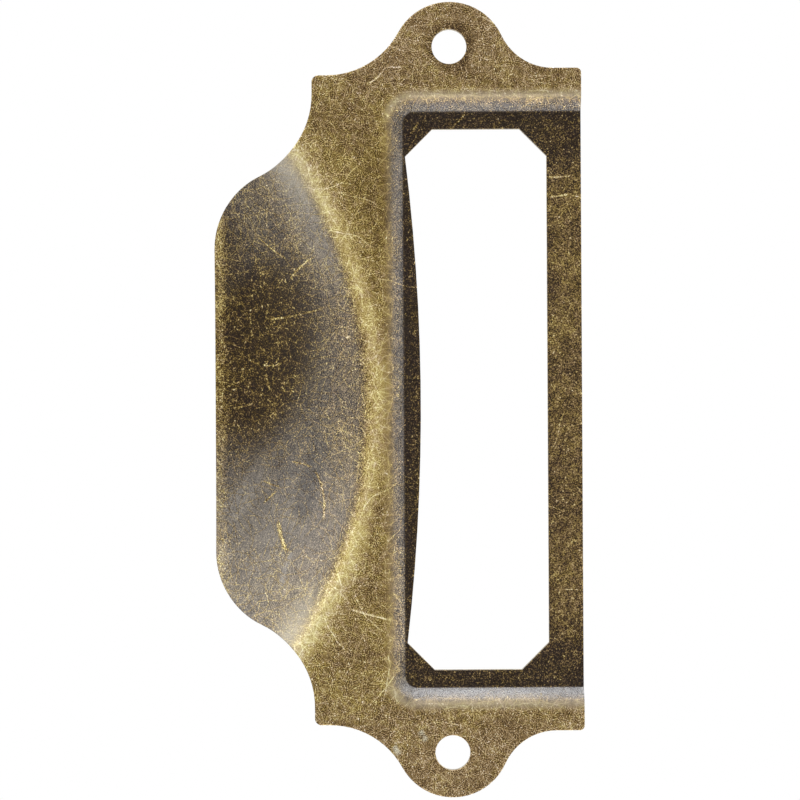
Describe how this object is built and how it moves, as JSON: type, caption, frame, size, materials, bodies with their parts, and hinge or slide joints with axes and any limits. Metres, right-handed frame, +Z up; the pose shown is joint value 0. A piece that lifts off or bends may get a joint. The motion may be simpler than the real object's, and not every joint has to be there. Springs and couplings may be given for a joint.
{
  "type": "label frame pull",
  "caption": "Stamped drawer label frame with screw ears, an open-top card pocket behind a window, and a cupped finger lip below.",
  "frame": {"origin": "on the flat back, midway between the two screw holes", "axes": "+X along the length, +Y into the drawer (out of the flat back), +Z up the drawer front, with the lip at -Z"},
  "size_m": [0.082, 0.011, 0.0384],
  "materials": {
    "antique_brass": "antique plated, darkened in the recesses and rubbed on the bends"
  },
  "bodies": {
    "root": {"label_frame_pull": "antique_brass"}
  },
  "joints": []
}
